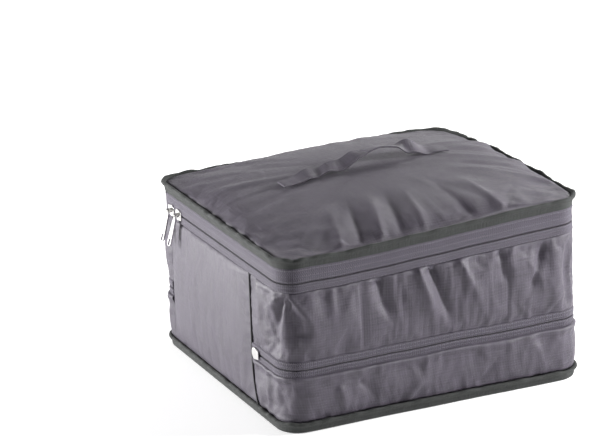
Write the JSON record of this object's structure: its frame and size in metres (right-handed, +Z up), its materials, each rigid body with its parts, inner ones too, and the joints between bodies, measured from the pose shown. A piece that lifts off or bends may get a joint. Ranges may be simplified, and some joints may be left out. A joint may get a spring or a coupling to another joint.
{
  "type": "packing cube",
  "caption": "Soft zipped packing cube with a crowned hinged lid, a carry strap and a second zipper that lets out a hidden gusset.",
  "frame": {"origin": "centre of the cube's outline on the underside of the bottom panel", "axes": "+Z up, +X along the long side away from the end with the sliders, front wall facing -Y, lid hinge at +Y"},
  "size_m": [0.2924, 0.2666, 0.1911],
  "materials": {
    "ripstop": "dark grey ripstop nylon with a slight purple cast and a soft sheen",
    "binding": "dark greenish grey folded binding tape, matt",
    "zipper_tape": "dark grey woven zipper tape",
    "coil": "dark grey nylon coil",
    "nickel": "bright nickel plate"
  },
  "bodies": {
    "base": {"bottom_panel": "ripstop", "bottom_binding": "binding", "lower_wall": "ripstop", "end_panel_lower": "ripstop", "expansion_gusset": "ripstop", "expansion_zip_tape_lower": "zipper_tape", "expansion_zip_coil_lower": "coil", "front_seam_tape_lower": "binding", "rear_seam_tape_lower": "binding"},
    "upper": {"upper_wall": "ripstop", "end_panel_upper": "ripstop", "back_strip": "ripstop", "expansion_zip_tape_upper": "zipper_tape", "expansion_zip_coil_upper": "coil", "lid_zip_tape_lower": "zipper_tape", "lid_zip_coil_lower": "coil", "front_seam_tape_upper": "binding", "rear_seam_tape_upper": "binding"},
    "lid": {"lid_binding": "binding", "lid_panel": "ripstop", "lid_zip_tape_upper": "zipper_tape", "lid_zip_coil_upper": "coil", "strap_end_left": "ripstop", "strap_end_right": "ripstop"},
    "strap": {"strap": "ripstop"},
    "front_slider": {"front_slider": "nickel"},
    "front_puller": {"front_puller": "nickel"},
    "rear_slider": {"rear_slider": "nickel"},
    "rear_puller": {"rear_puller": "nickel"},
    "expansion_slider": {"expansion_slider": "nickel"},
    "expansion_puller": {"expansion_puller": "nickel"}
  },
  "joints": [
    {"name": "expansion_tilt", "type": "hinge", "parent": "base", "child": "upper", "pos_m": [-0.147, 0, 0.056], "axis": [0, -1, 0], "range_deg": [0, 9]},
    {"name": "lid_hinge", "type": "hinge", "parent": "upper", "child": "lid", "pos_m": [0, 0.1333, 0.142], "axis": [-1, 0, 0], "range_deg": [0, 180]},
    {"name": "strap_swing", "type": "hinge", "parent": "lid", "child": "strap", "pos_m": [0, 0, 0.18329], "axis": [1, 0, 0], "range_deg": [-35, 35]},
    {"name": "front_slider_slide", "type": "slide", "parent": "upper", "child": "front_slider", "axis": [0, -1, 0], "range_m": [0, 0.191]},
    {"name": "front_puller_flip", "type": "hinge", "parent": "front_slider", "child": "front_puller", "pos_m": [-0.14325, 0.0855, 0.13175], "axis": [0, 1, 0], "range_deg": [0, 145]},
    {"name": "rear_slider_slide", "type": "slide", "parent": "upper", "child": "rear_slider", "axis": [0, 1, 0], "range_m": [-0.003, 0.0045]},
    {"name": "rear_puller_flip", "type": "hinge", "parent": "rear_slider", "child": "rear_puller", "pos_m": [-0.14325, 0.1015, 0.13175], "axis": [0, 1, 0], "range_deg": [0, 145]},
    {"name": "expansion_slider_slide", "type": "slide", "parent": "base", "child": "expansion_slider", "axis": [0, -1, 0], "range_m": [0, 0.03]},
    {"name": "expansion_puller_flip", "type": "hinge", "parent": "expansion_slider", "child": "expansion_puller", "pos_m": [-0.13435, -0.07625, 0.056], "axis": [0, -1, 0], "range_deg": [0, 145]}
  ]
}
